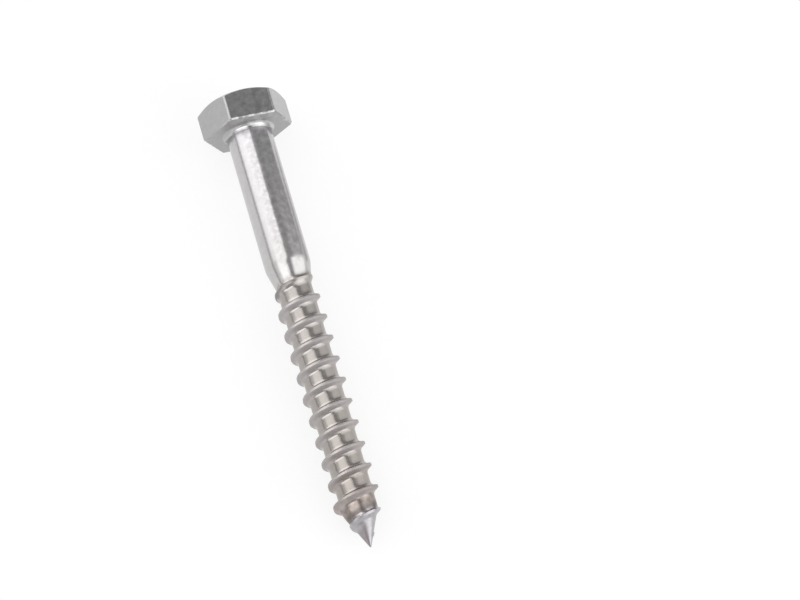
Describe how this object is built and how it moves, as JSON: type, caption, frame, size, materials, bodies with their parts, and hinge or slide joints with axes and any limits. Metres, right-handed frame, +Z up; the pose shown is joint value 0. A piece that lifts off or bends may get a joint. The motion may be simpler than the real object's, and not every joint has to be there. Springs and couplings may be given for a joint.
{
  "type": "lag screw",
  "caption": "Hex head lag screw with a plain shank, a coarse wood thread and a gimlet point, for driving into timber with a spanner or socket.",
  "frame": {"origin": "centre of the footprint, on the ground that the screw lies on", "axes": "+X along the screw towards its point, +Z up; the screw lies on one flat of its head and a thread crest, its point 2.5 degrees down"},
  "size_m": [0.0768, 0.0148, 0.0132],
  "materials": {
    "stainless_steel": "tumbled satin, cold headed and thread rolled, with a fine mottle"
  },
  "bodies": {
    "root": {"lag_screw": "stainless_steel"}
  },
  "joints": []
}
